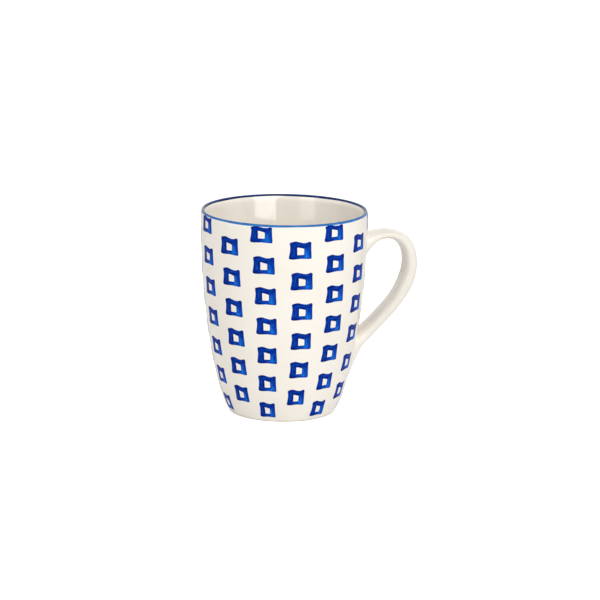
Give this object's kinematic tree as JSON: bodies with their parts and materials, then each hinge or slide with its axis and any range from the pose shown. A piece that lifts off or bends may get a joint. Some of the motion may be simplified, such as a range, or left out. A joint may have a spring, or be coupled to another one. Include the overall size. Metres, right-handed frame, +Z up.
{
  "type": "stoneware mug",
  "caption": "Tall stoneware mug, bowed in towards a foot ring, with a strap handle, cream glaze and a cobalt band over the lip.",
  "frame": {"origin": "on the surface the mug stands on, under the middle of its overall box; the vessel's own axis is the vertical line at x = -0.0136", "axes": "+Z up along the vessel's axis, +X towards the handle, +Y across the handle"},
  "size_m": [0.1122, 0.085, 0.1045],
  "materials": {
    "cream_glaze": "glossy transparent glaze over cream-white slip",
    "cobalt_glaze": "glossy cobalt blue underglaze colour",
    "bare_stoneware": "unglazed fired clay, matt, on the foot ring"
  },
  "bodies": {
    "root": {"mug_body": "cream_glaze", "rim_band": "cobalt_glaze", "handle": "cream_glaze", "upper_handle_joint": "cream_glaze", "lower_handle_joint": "cream_glaze"}
  },
  "joints": []
}
